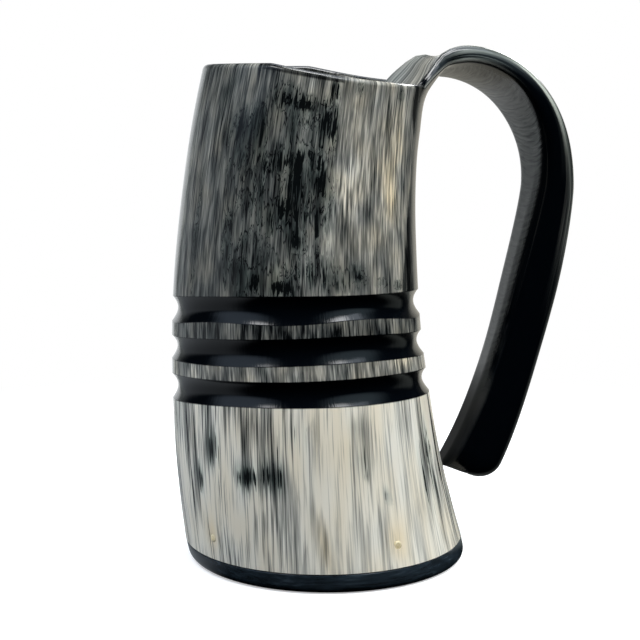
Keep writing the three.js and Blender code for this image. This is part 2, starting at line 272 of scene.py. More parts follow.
# The grain runs faster than the wall rises, so a fibre of length 36 is about 16 mm long below the rings,
# 6 mm on them and 8 mm above them.
grain_below, grain_in_rings, grain_above = 2.2, 6, 4.6
full_contrast = 2.4
grain_radius = 38
unevenness, uneven_width, uneven_length = 0.35, 26, 34
dark_lips = ((0.5, 2.8), (-2.35, -1.6))
for vert in shell.verts:
    x, y, height = vert.co
    angle = atan2(y, x)
    radius = hypot(x, y)
    in_rings = min(groove_top, max(band_bottom, height)) - band_bottom
    fibre_run = grain_below * min(0, height - band_bottom) + grain_in_rings * in_rings
    fibre_run += grain_above * max(0, height - groove_top)
    # Below the rings the fibres stand upright and don't follow the bow.
    upright = 0.85 * (middle_x(min(height, band_bottom)) - middle_x(band_bottom))
    fibre_turn = atan2(y, x + upright)
    vert[grain] = Vector((grain_radius * cos(fibre_turn), grain_radius * sin(fibre_turn), fibre_run))
    vert[rise] = height
    vert[across] = angle
    vert[through] = min(1, max(-1, (radius - lip_middle) / lip_round))
    place = (groove_top - height) % groove_pitch
    in_band = band_bottom - 0.05 < height < groove_top + 0.05
    in_groove = in_band and (place < groove_width + 0.05 or place > groove_pitch - 0.05)
    vert[polish] = 1.0 if in_groove else 0.0
    leftwards = smooth(turn_between(angle, radians(-165)), radians(75), radians(25))
    towards_handle = smooth(angle, radians(-60), radians(-35))
    streaky = lerp(1.2, 1.9, smooth(height, 12, 40)) + 1.5 * leftwards + 1.8 * towards_handle
    streaky = lerp(streaky, 1.35, smooth(height, band_bottom, band_bottom + 2))
    streaky_above = 1.5 - 0.45 * leftwards - 0.3 * smooth(angle, dark_field, pale_field)
    streaky = lerp(streaky, streaky_above, smooth(height, groove_top - 2, groove_top + 1))
    # The inside is dark and plain. So is the lip, whole at the back and front left and half elsewhere.
    dark_lip = any(low < angle < high for low, high in dark_lips)
    inner_lip = height > lip_start and radius < lip_middle + (3 if dark_lip else 0.3)
    inner = inner_lip or radius < horn_radius(height) - wall_thickness(height) + 0.3
    vert[tone] = (0.13, 0.0, 0.0, 0.3) if inner else wall_tone(angle, height)
    vert[contrast] = 0.7 if inner else streaky
    # Hand work leaves the wall a little uneven.
    uneven = noise.noise(Vector((x / uneven_width, y / uneven_width, height / uneven_length)))
    swell = unevenness * smooth(height, foot_top + 14, foot_top + 30) * uneven
    vert.co = bow_horn(Vector((x + x / radius * swell, y + y / radius * swell, height)))
    vert[start] = vert.co

# The strip's middle line: up out of the lip, over the arch, out to the shoulder and down to the end.
handle_width = 22.4
handle_leg_width = 18.2
handle_end_width = 19
handle_thickness = 5.9
handle_end_thickness = 15.4
handle_rise = 10.5
handle_run = 11.2
handle_reach = 50.9
handle_shoulder = 29.8
handle_end_height = 21
handle_end_gap = 2.6
handle_end_lean = radians(36.6)
root_curl = 1.5
arch_curl = 0.6
root_blend = 11
end_rounding = 8.5
end_swelling = 2.2
end_scale = 0.5
end_inwards = 0.9
end_askew = 1.2
askew_run = 16
lip_edge = 0.9
edge_share = 0.56
shoulder_share, full_share = 0.79, 0.76
root_arms, arch_arms, leg_arms = (1.3, 0.74), (0.46, 0.67), (0.12, 0.27)


def wall_middle(height):
    return bow_horn(Vector((horn_radius(height) - wall_thickness(height) / 2, 0, height)))


root = wall_middle(lip_start)
upwards = (root - wall_middle(rim_height - lip_thickness)).normalized()
arch_top = root + Vector((handle_run, 0, handle_rise - handle_thickness / 2))
shoulder_half = lerp(handle_thickness, handle_end_thickness, shoulder_share) / 2
shoulder = root + Vector((handle_reach - shoulder_half, 0, -handle_shoulder))
inwards = Vector((-sin(handle_end_lean), 0, -cos(handle_end_lean)))
corner_height = handle_end_height + handle_end_thickness / 2 * sin(handle_end_lean)
end_x = middle_x(corner_height) + horn_radius(corner_height) + handle_end_gap
strip_end = Vector((end_x + handle_end_thickness / 2 * cos(handle_end_lean), 0, handle_end_height))
leg = (strip_end - shoulder).length
bends = [
    (root, root + upwards * root_arms[0] * (arch_top.z - root.z),
     arch_top - Vector((root_arms[1] * (arch_top.x - root.x), 0, 0)), arch_top),
    (arch_top, arch_top + Vector((arch_arms[0] * (shoulder.x - arch_top.x), 0, 0)),
     shoulder + Vector((0, 0, arch_arms[1] * (arch_top.z - shoulder.z))), shoulder),
    (shoulder, shoulder - Vector((0, 0, leg_arms[0] * leg)),
     strip_end - inwards * leg_arms[1] * leg, strip_end),
]
line = [root]
line_marks = []
for knot, arm, other_arm, next_knot in bends:
    line += interpolate_bezier(knot, arm, other_arm, next_knot, 80)[1:]
    line_marks.append(len(line) - 1)
run = [0]
for before, after in zip(line, line[1:]):
    run.append(run[-1] + (after - before).length)
top_run, shoulder_run, strip_run = (run[i] for i in line_marks)
arch_middle = lerp(top_run, shoulder_run, 0.5)
leg_middle = lerp(shoulder_run, strip_run, 0.5)


def strip_spot(placed):
    i = max(k for k in range(len(run) - 1) if run[k] <= placed + 1e-9)
    share = (placed - run[i]) / (run[i + 1] - run[i])
    before = line[min(i + 1, len(line) - 1)] - line[max(i - 1, 0)]
    after = line[min(i + 2, len(line) - 1)] - line[i]
    return line[i].lerp(line[i + 1], share), before.lerp(after, share).normalized()


# A size that changes smoothly along the strip, given as places and values.
def along(placed, *stops):
    places, values = zip(*stops)
    if placed <= places[0]:
        return values[0]
    for i in range(len(stops) - 1):
        if placed <= places[i + 1]:
            before, after = max(0, i - 1), min(len(stops) - 1, i + 2)
            step = places[i + 1] - places[i]
            slope = (values[i + 1] - values[before]) / (places[i + 1] - places[before]) if i else 0
            next_slope = (values[after] - values[i]) / (places[after] - places[i]) if after > i + 1 else 0
            t = (placed - places[i]) / step
            rest = 1 - t
            return (values[i] * rest * rest * (1 + 2 * t) + values[i + 1] * t * t * (1 + 2 * rest)
                    + step * t * rest * (slope * rest - next_slope * t))
    return values[-1]


# Place of one point of the strip's section. side and depth run from -1 to 1, depth 1 on the underside.
def strip_point(placed, side, depth):
    over_arch = smooth(placed, 0, top_run)
    thickness = lerp(lerp(lip_thickness, handle_thickness, over_arch), handle_end_thickness,
                     smooth(placed, top_run, lerp(shoulder_run, leg_middle, full_share)))
    thickness += end_swelling * smooth(placed, leg_middle, strip_run)
    width = along(
        placed, (top_run, handle_width), (leg_middle, handle_leg_width), (strip_run, handle_end_width))
    half_width = width / 2
    past = max(0, placed - strip_run + end_rounding) / end_rounding
    end_share = lerp(1, end_scale, 1 - sqrt(max(0, 1 - past * past)))
    half_thickness = thickness / 2
    u, v = side * half_width, depth * half_thickness
    # Rounded edges, each a quarter of an ellipse: width and height of those above and below.
    if u < 0:
        above = (along(placed, (0, lip_edge), (top_run, 3), (shoulder_run, 3.5), (leg_middle, 4.5)),
                 along(placed, (0, lip_edge), (top_run, 3.9), (shoulder_run, 4.5), (leg_middle, 5)))
        below = (along(placed, (0, lip_edge), (top_run, lip_edge), (arch_middle, 2.4),
                       (shoulder_run, 7.5), (leg_middle, 7), (strip_run, 3)),
                 along(placed, (0, lip_edge), (top_run, lip_edge), (arch_middle, 2),
                       (shoulder_run, 5.6), (leg_middle, 5.5), (strip_run, 3)))
    else:
        above = (along(placed, (0, lip_edge), (top_run, 1.6), (shoulder_run, 3), (leg_middle, 4.2)),) * 2
        below = (along(placed, (0, lip_edge), (top_run, lip_edge), (arch_middle, 2),
                       (shoulder_run, 4.5), (leg_middle, 5.5), (strip_run, 7.5)),) * 2
    for upright, (edge_width, edge_height) in ((-1, above), (1, below)):
        edge_height = min(edge_height, thickness * edge_share)
        a = (abs(u) - half_width) / edge_width + 1
        b = (v * upright - half_thickness) / edge_height + 1
        if a > 0 and b > 0:
            u += (sqrt(1 - b * b / 2) - 1) * a * edge_width * (1 if u > 0 else -1)
            v += (sqrt(1 - a * a / 2) - 1) * b * edge_height * upright
            break
    u *= end_share
    v = v * end_share + (1 - end_share) * half_thickness * end_inwards
    curl = lerp(root_curl, arch_curl, over_arch) * (1 - smooth(placed, top_run, shoulder_run))
    wall_curve = rim_radius - lip_thickness / 2
    v -= curl * (wall_curve - sqrt(wall_curve ** 2 - u ** 2))
    twist = radians(along(placed, (0, -3), (0.5 * top_run, 0), (top_run, 11.4),
                          (arch_middle, 9.7), (shoulder_run, -2.9), (leg_middle, -7), (strip_run, -13)))
    lift = v * cos(twist) + u * sin(twist)
    spot, forward = strip_spot(placed)
    # The end is cut a little askew, longer on the side of the wall.
    spot = spot + forward * end_askew * depth * smooth(placed, strip_run - askew_run, strip_run)
    return Vector((spot.x + forward.z * lift, u * cos(twist) - v * sin(twist), spot.z - forward.x * lift))


# Pulls faces out of a shape, and gives back the vertices and faces at their new place.
def pull_out(drawn, faces):
    made = bmesh.ops.extrude_face_region(drawn, geom=faces)["geom"]
    bmesh.ops.delete(drawn, geom=faces, context="FACES")
    return ([item for item in made if isinstance(item, bmesh.types.BMVert)],
            [item for item in made if isinstance(item, bmesh.types.BMFace)])


# The strip is drawn out of the lip's own faces, step by step along the middle line.
far_sector, near_sector = 16 * 2 * pi / around, 18 * 2 * pi / around
strip_faces = [
    face for face in shell.faces
    if all(vert[rise] > lip_start - 0.01 and -near_sector - 0.001 < vert[across] < far_sector + 0.001
           for vert in face.verts)
]
first_places = [0.2, 0.6, 1.2]
body_steps, end_steps = 104, 9
body_run = strip_run - end_rounding
# The strip's grain goes on from that of the wall, one unit for each millimetre.
strip_grain = 3.4 * rim_height
grain_side, grain_depth = 12, 2
places = first_places + [lerp(first_places[-1], body_run, i / body_steps) for i in range(1, body_steps + 1)]
places += [body_run + end_rounding * sin(pi / 2 * i / end_steps) for i in range(1, end_steps + 1)]
for placed in places:
    strip_verts, strip_faces = pull_out(shell, strip_faces)
    for vert in strip_verts:
        sector = far_sector if vert[across] > 0 else near_sector
        even = sin(vert[across]) / sin(sector)
        side = lerp(even, sin(pi / 2 * vert[across] / sector), smooth(placed, 0, 12))
        depth = vert[through]
        straight_on = vert[start] + upwards * placed
        vert.co = straight_on.lerp(strip_point(placed, side, depth), smooth(placed, 0, root_blend))
        vert[grain] = Vector((lip_middle + grain_depth * depth, grain_side * side, strip_grain + placed))
        # Grey streaks on top of the arch, partly the horn's own and partly a painted sheen of the light
        # above; black faces elsewhere; a bare root; a painted highlight on the near lower edge beside the
        # lip;
        # and painted shade on the near side by the root.
        over_arch = 1 - smooth(placed, arch_middle, shoulder_run)
        black_from = lerp(-1.2, 0.1, smooth(placed, top_run, arch_middle))
        # Partly painted sheen: the arch's grey top also stands for the light above mirrored in it.
        arch_grey_and_sheen = smooth(-depth, black_from, black_from + 0.45) * over_arch * smooth(placed, 4, 16)
        outer_edge = smooth(-depth, 0.3, 1) * (1 - smooth(placed, shoulder_run, leg_middle))
        bare = smooth(-depth, 0.3, 0.9) * (1 - smooth(placed, 6, 20))
        # Painted highlight: a pale line along the near lower edge, as if the sharp edge caught the light.
        painted_edge_highlight = smooth(-side, 0.97, 0.99) * smooth(depth, 0.75, 0.9)
        painted_edge_highlight *= 1 - smooth(placed, top_run, arch_middle)
        shown = max(bare, painted_edge_highlight)
        # Painted shade: by the root the near side is a darker grey, where shade falls beside the wall.
        shaded_near_side = smooth(-side, 0.8, 0.96) * (1 - smooth(placed, 0.4 * top_run, top_run))
        greyness = lerp(0.43, 0.27, shaded_near_side)
        vert[tone] = (lerp(greyness, 0.7, painted_edge_highlight), 0, 0, lerp(-0.25, 0.1, shown))
        vert[polish] = 1 - max(0.95 * arch_grey_and_sheen, 0.6 * outer_edge, 0.9 * bare, 0.9 * painted_edge_highlight)
        # The underside is sanded and not polished, with ever fainter scratches down the leg.
        on_leg = smooth(placed, arch_middle, shoulder_run)
        down_leg = smooth(placed, leg_middle, lerp(leg_middle, strip_run, 0.7))
        rounded_in = smooth(side, lerp(-0.97, -1.5, down_leg), lerp(-0.5, -1, down_leg))
        vert[brushed] = smooth(depth, 0.5, 0.9) * rounded_in
        sanding = (1 - 0.52 * on_leg) * (1 - down_leg)
        streaky = lerp(full_contrast, 1.2, shown)
        vert[contrast] = lerp(streaky, full_contrast * sanding, smooth(depth, -0.5, -0.1) * on_leg)


# Turns a colour written as in a paint list into the linear values that the shaders take.
def paint(colour):
    parts = [int(colour[i:i + 2], 16) / 255 for i in (1, 3, 5)]
    return [p / 12.92 if p <= 0.04045 else ((p + 0.055) / 1.055) ** 2.4 for p in parts] + [1]


# Adds a node: settings are its own properties, inputs its sockets by name or number. A node or socket
# given for an input is linked to it, and anything else is set on it.
def add(tree, kind, inputs=None, stops=None, **settings):
    made = tree.nodes.new(kind)
    for name, value in settings.items():
        setattr(made, name, value)
    for key, value in (inputs or {}).items():
        if isinstance(value, bpy.types.Node):
            value = value.outputs[0]
        if isinstance(value, bpy.types.NodeSocket):
            tree.links.new(value, made.inputs[key])
        else:
            made.inputs[key].default_value = value
    if stops:
        elements = made.color_ramp.elements
        while len(elements) < len(stops):
            elements.new(1)
        for element, (position, colour) in zip(elements, stops):
            element.position = position
            element.color = paint(colour)
    return made


# Nodes that calculate with numbers or vectors, given in the order of the inputs.
def calc(tree, operation, *values):
    return add(tree, "ShaderNodeMath", dict(enumerate(values)), operation=operation)


def calc_vector(tree, operation, *values):
    return add(tree, "ShaderNodeVectorMath", dict(enumerate(values)), operation=operation)


# A node that rises smoothly from 0 to 1 as its value goes from low to high.
def soft_step(tree, value, low, high):
    return add(tree, "ShaderNodeMapRange", {
        "Value": value, "From Min": low, "From Max": high}, interpolation_type="SMOOTHSTEP")


def new_finish(name):
    finish = bpy.data.materials.new(name)
    finish.use_nodes = True
    finish.node_tree.nodes.clear()
    return finish


# Makes an object of a shape drawn in millimetres.
def new_piece(name, drawn, finish):
    bmesh.ops.scale(drawn, vec=(mm, mm, mm), verts=drawn.verts)
    mesh = bpy.data.meshes.new(name)
    drawn.to_mesh(mesh)
    drawn.free()
    mesh.shade_smooth()
    mesh.set_sharp_from_angle(angle=radians(50))
    mesh.materials.append(finish)
    piece = bpy.data.objects.new(name, mesh)
    bpy.context.scene.collection.objects.link(piece)
    return piece


# Polished ox horn: keratin laid down in fine fibres along the horn, so every tone is drawn out
# lengthwise. Dark pigment lies in it in torn flames, and a hand polish leaves a clear soft gloss.
horn_finish = new_finish("polished_ox_horn")
tree = horn_finish.node_tree
fibre = add(tree, "ShaderNodeAttribute", attribute_name="grain").outputs["Vector"]
tones = add(tree, "ShaderNodeAttribute", attribute_name="tone")
cut = add(tree, "ShaderNodeAttribute", attribute_name="polish").outputs["Fac"]
strength = add(tree, "ShaderNodeAttribute", attribute_name="contrast").outputs["Fac"]
split = add(tree, "ShaderNodeSeparateColor", {0: tones.outputs["Color"]})
pale, dark, light = split.outputs[0], split.outputs[1], split.outputs[2]
warm = tones.outputs["Alpha"]
# Fibre layers: width of one fibre in mm and its length along the grain. The hairs of real horn are finer
# than 0.1 mm, and are drawn coarser so that they show.
layers = []
for width, length in ((0.4, 36), (0.9, 80), (2.2, 90), (7, 50)):
    drawn_out = calc_vector(tree, "MULTIPLY", fibre, (1 / width, 1 / width, 1 / length))
    layer = add(tree, "ShaderNodeTexNoise", {
        "Vector": drawn_out, "Scale": 1.0, "Detail": 1.0, "Roughness": 0.5})
    layers.append(calc(tree, "SUBTRACT", layer, 0.5))
hairs, fibres, streaks, swells = layers
# Broad patches of the horn are a little browner or bluer.
warm = calc(tree, "MULTIPLY_ADD", swells, 1.3, warm)
# Flames are 6 mm wide. Each fibre shifts them a little along the horn, which tears their edges.
flame_width, flame_length = 6, 35
shift = calc(tree, "MULTIPLY", swells, 50.0)
shift = calc(tree, "MULTIPLY_ADD", fibres, 75.0, shift)
torn_along = add(tree, "ShaderNodeCombineXYZ", {"Z": shift})
torn_place = calc_vector(tree, "ADD", fibre, torn_along)
torn_place = calc_vector(tree, "MULTIPLY", torn_place, (1 / flame_width, 1 / flame_width, 1 / flame_length))
flames = add(tree, "ShaderNodeTexNoise", {
    "Vector": torn_place, "Scale": 1.0, "Detail": 3.0, "Roughness": 0.6})
flames = calc(tree, "SUBTRACT", flames, 0.5)
change = calc(tree, "MULTIPLY", flames, 0.3)
for layer, amount in ((swells, 0.3), (streaks, 0.46), (fibres, 0.42), (hairs, 0.58)):
    change = calc(tree, "MULTIPLY_ADD", layer, amount, change)
value = calc(tree, "MULTIPLY_ADD", change, strength, pale)
lit = calc(tree, "ADD", fibres, hairs)
lit = soft_step(tree, lit, -0.25, 0.2)
value = calc(tree, "MULTIPLY_ADD", lit, light, value)
# Pigment: the marks, torn up by flames, fibres and hairs. It is black where it is thick, a jagged
# growth line runs round it, and a thin cool shadow lies about it.
pigment = dark
for layer, amount in ((flames, 2.6), (fibres, 2.2), (hairs, 1.6)):
    pigment = calc(tree, "MULTIPLY_ADD", layer, amount, pigment)
marked = soft_step(tree, dark, 0.03, 0.2)
shadow = soft_step(tree, pigment, -0.1, 0.8)
shadow = calc(tree, "MULTIPLY", shadow, marked)
growth = calc(tree, "MULTIPLY", flames, 4.5)
growth = calc(tree, "MULTIPLY_ADD", dark, 2.0, growth)
growth = calc(tree, "MULTIPLY_ADD", fibres, 1.2, growth)
growth = calc(tree, "FRACT", growth)
growth = calc(tree, "SUBTRACT", growth, 0.5)
growth = calc(tree, "ABSOLUTE", growth)
growth = add(tree, "ShaderNodeMapRange", {
    "Value": growth, "From Min": 0.02, "From Max": 0.13, "To Min": 0.28, "To Max": 0.0})
growth = calc(tree, "MULTIPLY", growth, marked)
faded = add(tree, "ShaderNodeMapRange", {
    "Value": pale, "From Min": 0.4, "From Max": 0.7, "To Min": 1.0, "To Max": 0.0})
growth = calc(tree, "MULTIPLY", growth, faded)
growth = calc(tree, "MULTIPLY_ADD", shadow, 0.06, growth)
value = calc(tree, "SUBTRACT", value, growth)
torn = soft_step(tree, pigment, 0.55, 0.85)
torn = calc(tree, "MULTIPLY", torn, marked)
sunk = calc(tree, "MULTIPLY", pale, pale)
sunk = calc(tree, "MULTIPLY", sunk, 0.25)
value = add(tree, "ShaderNodeMix", {0: torn, 2: value, 3: sunk})
colour = add(tree, "ShaderNodeValToRGB", {0: value}, stops=[
    (0.0, "#040607"), (0.1, "#17191a"), (0.25, "#3c3f3e"), (0.5, "#7c7d78"), (0.75, "#bcbbb2"),
    (0.9, "#dedcd0"), (1.0, "#e9e7dc")])
warmed = add(tree, "ShaderNodeMix", {0: warm, 6: colour, 7: paint("#fff0d6")}, data_type="RGBA",
             blend_type="MULTIPLY", clamp_factor=True)
cool = calc(tree, "MULTIPLY", warm, -1.0)
cool = calc(tree, "MAXIMUM", cool, 0.0)
deep = calc(tree, "MULTIPLY_ADD", pale, -0.6, 0.75)
cool = calc(tree, "MULTIPLY_ADD", shadow, deep, cool)
cooled = add(tree, "ShaderNodeMix", {0: cool, 6: warmed.outputs[2], 7: paint("#bcd4d0")}, data_type="RGBA",
             blend_type="MULTIPLY", clamp_factor=True)
blackened = add(tree, "ShaderNodeMix", {0: cut, 6: cooled.outputs[2], 7: paint("#020407")}, data_type="RGBA")
rough = add(tree, "ShaderNodeMapRange", {
    "Value": hairs, "From Min": -0.25, "From Max": 0.25, "To Min": 0.07, "To Max": 0.15})
relief = calc(tree, "MULTIPLY_ADD", streaks, 0.5, hairs)
# The underside of the arch keeps the arcs of the sanding drum, drawn a millimetre apart so that they show.
arc_length, arcs_per_mm, arc_bend = 9, 0.9, 0.025
sanded = add(tree, "ShaderNodeAttribute", attribute_name="brushed").outputs["Fac"]
place = add(tree, "ShaderNodeSeparateXYZ", {0: fibre})
bent = calc(tree, "MULTIPLY", place.outputs["Y"], place.outputs["Y"])
bent = calc(tree, "MULTIPLY_ADD", bent, arc_bend, place.outputs["Z"])
arcs = add(tree, "ShaderNodeCombineXYZ", {"X": place.outputs["Y"], "Y": bent})
arcs = calc_vector(tree, "MULTIPLY", arcs, (1 / arc_length, arcs_per_mm, 0.0))
arcs = add(tree, "ShaderNodeTexNoise", {
    "Vector": arcs, "Scale": 1.0, "Detail": 3.0, "Roughness": 0.6, "Distortion": 0.5})
# They fade on the leg, where only a satin face is left, and end in a ragged line at the polished edge.
arcs = calc(tree, "SUBTRACT", arcs, 0.5)
kept = calc(tree, "MULTIPLY", strength, 1 / full_contrast)
arcs = calc(tree, "MULTIPLY", arcs, kept)
dusty = calc(tree, "MULTIPLY_ADD", arcs, 0.9, sanded)
dusty = soft_step(tree, dusty, 0.2, 0.9)
dusty = calc(tree, "MULTIPLY", dusty, kept)
dust = calc(tree, "ADD", arcs, 0.5)
dust = add(tree, "ShaderNodeValToRGB", {0: dust}, stops=[(0.33, "#101314"), (0.67, "#858783")])
blackened = add(tree, "ShaderNodeMix", {0: dusty, 6: blackened.outputs[2], 7: dust}, data_type="RGBA")
arcs = calc(tree, "MULTIPLY", arcs, 6.0)
relief = add(tree, "ShaderNodeMix", {0: sanded, 2: relief, 3: arcs})
matte = add(tree, "ShaderNodeMapRange", {"Value": kept, "From Max": 0.35, "To Min": 0.8, "To Max": 0.34})
rough = add(tree, "ShaderNodeMix", {0: sanded, 2: rough, 3: matte})
bump = add(tree, "ShaderNodeBump", {"Strength": 0.25, "Distance": 0.0001, "Height": relief})
shader = add(tree, "ShaderNodeBsdfPrincipled", {
    "Base Color": blackened.outputs[2], "Roughness": rough, "Normal": bump, "IOR": 1.48})
add(tree, "ShaderNodeOutputMaterial", {"Surface": shader})
horn = new_piece("horn_wall_and_handle", shell, horn_finish)
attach(horn, "root")
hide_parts("horn_body")


# Turns a section given as radius and height pairs about the Z axis, closed at both ends.
def turned(section, steps):
    drawn = bmesh.new()
    ring = [drawn.verts.new((radius, 0, height)) for radius, height in section]
    for before, after in zip(ring, ring[1:]):
        drawn.edges.new((before, after))
    bmesh.ops.spin(
        drawn, geom=drawn.verts[:] + drawn.edges[:], cent=(0, 0, 0), axis=(0, 0, 1), angle=2 * pi,
        steps=steps, use_merge=True)
    bmesh.ops.remove_doubles(drawn, verts=drawn.verts, dist=0.001)
    bmesh.ops.dissolve_degenerate(drawn, edges=drawn.edges, dist=0.001)
    bmesh.ops.recalc_face_normals(drawn, faces=drawn.faces)
    return drawn


def lean_with_horn(drawn):
    for vert in drawn.verts:
        vert.co.x += middle_x(vert.co.z)


# Foot plate
# A disc cut from flattened black horn and glued under the wide end, flush with the wall. Its lower
# edge is rounded over and the whole edge is buffed to a wet black gloss.
plate_thickness = 5.9
plate_edge = 2.6
plate_break = 0.35
plate_middle = 20
plate_side = 4.2
plate_section = [(0, 0), (plate_middle, 0)]
for i in range(9):
    turn = pi / 2 * i / 8
    plate_section.append((foot_radius - plate_edge + plate_edge * sin(turn),
                          plate_edge - plate_edge * cos(turn)))
plate_section += [(foot_radius, plate_side)]
for i in range(4):
    turn = pi / 2 * i / 3
    plate_section.append((foot_radius - plate_break + plate_break * cos(turn),
                          plate_thickness - plate_break + plate_break * sin(turn)))
plate_section += [(plate_middle, plate_thickness), (0, plate_thickness)]
plate_shape = turned(plate_section, 192)
lean_with_horn(plate_shape)
# Black horn: almost pure black with a faint cloudy grain lying flat in the plate. The ramp lifts it to
# bluish greys, a painted sheen of the white table mirrored in its gloss.
cloud_sizes = (14.3, 3.33, 1.11)
plate_finish = new_finish("black_horn_with_painted_sheen")
tree = plate_finish.node_tree
spot = add(tree, "ShaderNodeTexCoord").outputs["Object"]
flat = calc_vector(tree, "MULTIPLY", spot, [1 / (size * mm) for size in cloud_sizes])
clouds = add(tree, "ShaderNodeTexNoise", {"Vector": flat, "Scale": 1.0, "Detail": 4.0, "Roughness": 0.6})
colour = add(tree, "ShaderNodeValToRGB", {0: clouds}, stops=[
    (0.35, "#161c20"), (0.55, "#222b32"), (0.75, "#364149")])
rough = add(tree, "ShaderNodeMapRange", {"Value": clouds, "To Min": 0.1, "To Max": 0.22})
shader = add(tree, "ShaderNodeBsdfPrincipled", {"Base Color": colour, "Roughness": rough, "IOR": 1.48})
add(tree, "ShaderNodeOutputMaterial", {"Surface": shader})
plate = new_piece("foot_plate", plate_shape, plate_finish)
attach(plate, "root")
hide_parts("base_plate")

# Glue line
# Cured dark glue between the end of the horn and the plate. It was pressed out as a thin bead and scraped
# back a little from the outside, so it shows as a fine dark line.
glue_inset = 0.3
glue_outer = foot_radius - glue_inset
glue_inner = foot_radius - wall
glue_bulge = 0.06
glue_shape = turned([
    (glue_outer, plate_thickness), (glue_outer + glue_bulge, (plate_thickness + foot_top) / 2),
    (glue_outer, foot_top), (glue_inner, foot_top),
    (glue_inner, plate_thickness), (glue_outer, plate_thickness)], 144)
lean_with_horn(glue_shape)
# Glue: brown-black and slightly shiny, with small lumps.
lump_size = 1.11
glue_finish = new_finish("cured_dark_glue")
tree = glue_finish.node_tree
spot = add(tree, "ShaderNodeTexCoord").outputs["Object"]
lumps = add(tree, "ShaderNodeTexNoise", {"Vector": spot, "Scale": 1 / (lump_size * mm), "Detail": 3.0})
colour = add(tree, "ShaderNodeValToRGB", {0: lumps}, stops=[(0.3, "#191410"), (0.7, "#3a3026")])
shader = add(tree, "ShaderNodeBsdfPrincipled", {"Base Color": colour, "Roughness": 0.35})
add(tree, "ShaderNodeOutputMaterial", {"Surface": shader})
glue = new_piece("glue_line", glue_shape, glue_finish)
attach(glue, "root")
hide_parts("glue_ring")

# Plug
# A turned disc of pale hardwood that closes the wide end. It tapers with the bore, its edges are
# broken, and the pins sit in blind holes in its side.
fit = 0.3
plug_top = 19.9
plug_break = 0.6
plug_side = 30
plug_middle = 24
pin_length = wall + 8


def bore_radius(height):
    return horn_radius(height) - wall_thickness(height)


plug_section = [(0, plate_thickness), (plug_middle, plate_thickness)]
plug_section += [(bore_radius(plate_thickness) - fit - plug_break, plate_thickness)]
plug_levels = [plate_thickness + plug_break]
plug_levels += [pin_height + offset for offset in (-3.9, -1.8, -1, 0, 1, 1.8, 4.1)] + [plug_top - plug_break]
plug_section += [(bore_radius(height) - fit, height) for height in plug_levels]
plug_section += [(bore_radius(plug_top) - fit - plug_break, plug_top), (plug_middle, plug_top), (0, plug_top)]
plug_shape = turned(plug_section, 216)
hole_floor = horn_radius(pin_height) - pin_length - fit
for angle in pin_angles:
    axis = Vector((cos(angle), sin(angle), 0))
    _, mouth, _ = mark_hole(plug_shape, axis, plug_side, pin_radius + 0.3, pin_radius + fit)
    floor_verts, _ = pull_out(plug_shape, mouth)
    for vert in floor_verts:
        vert.co += axis * (hole_floor - vert.co.dot(axis))
lean_with_horn(plug_shape)
# Hardwood: straight grain across the disc with yearly rings about 5 mm apart, and fine pores, drawn wider
# than real ones so that they show. A wave of scale 1 repeats every wave_length.
wave_length = pi / 10
year_width, warp_size = 5.236, 25
pore_sizes = (0.4, 5, 0.4)
wood_finish = new_finish("turned_hardwood")
tree = wood_finish.node_tree
spot = add(tree, "ShaderNodeTexCoord").outputs["Object"]
bent = add(tree, "ShaderNodeTexNoise", {"Vector": spot, "Scale": 1 / (warp_size * mm), "Detail": 2.0})
bent = calc(tree, "MULTIPLY", bent, 0.02)
bent = add(tree, "ShaderNodeCombineXYZ", {"X": bent, "Z": bent})
boards = calc_vector(tree, "ADD", spot, bent)
rings = add(tree, "ShaderNodeTexWave", {
    "Vector": boards, "Scale": wave_length / (year_width * mm), "Distortion": 1.5, "Detail": 2.0},
    wave_profile="SAW")
pores = calc_vector(tree, "MULTIPLY", spot, [1 / (size * mm) for size in pore_sizes])
pores = add(tree, "ShaderNodeTexNoise", {"Vector": pores, "Scale": 1.0, "Detail": 2.0})
grained = calc(tree, "MULTIPLY_ADD", pores, 0.5, rings)
colour = add(tree, "ShaderNodeValToRGB", {0: grained}, stops=[
    (0.2, "#c2a06c"), (0.7, "#a98556"), (0.8, "#8a6840"), (1.0, "#77572f")])
shader = add(tree, "ShaderNodeBsdfPrincipled", {"Base Color": colour, "Roughness": 0.62})
add(tree, "ShaderNodeOutputMaterial", {"Surface": shader})
plug = new_piece("wooden_plug", plug_shape, wood_finish)
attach(plug, "root")
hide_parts("base_plug")

# Poured floor
# Amber resin poured on the plug to make the mug tight. It has levelled itself, climbs the wall a little at
# its edge and has set to a hard glossy dish.
seal_top = 21.5
seal_climb = 2.4
seal_rings = (25, 12, 0)
seal_edge = bore_radius(floor_edge) - fit
seal_section = [(0, plug_top), (bore_radius(plug_top) - fit, plug_top)]
seal_section += [(bore_radius(seal_top) - fit, seal_top), (seal_edge, floor_edge)]
for i in range(13):
    turn = pi / 2 * i / 12
    seal_section.append((seal_edge - seal_climb / 4 - seal_climb * (1 - cos(turn)),
                         floor_edge - seal_climb * sin(turn)))
seal_section += [(radius, seal_top) for radius in seal_rings]
seal_shape = turned(seal_section, 144)
lean_with_horn(seal_shape)
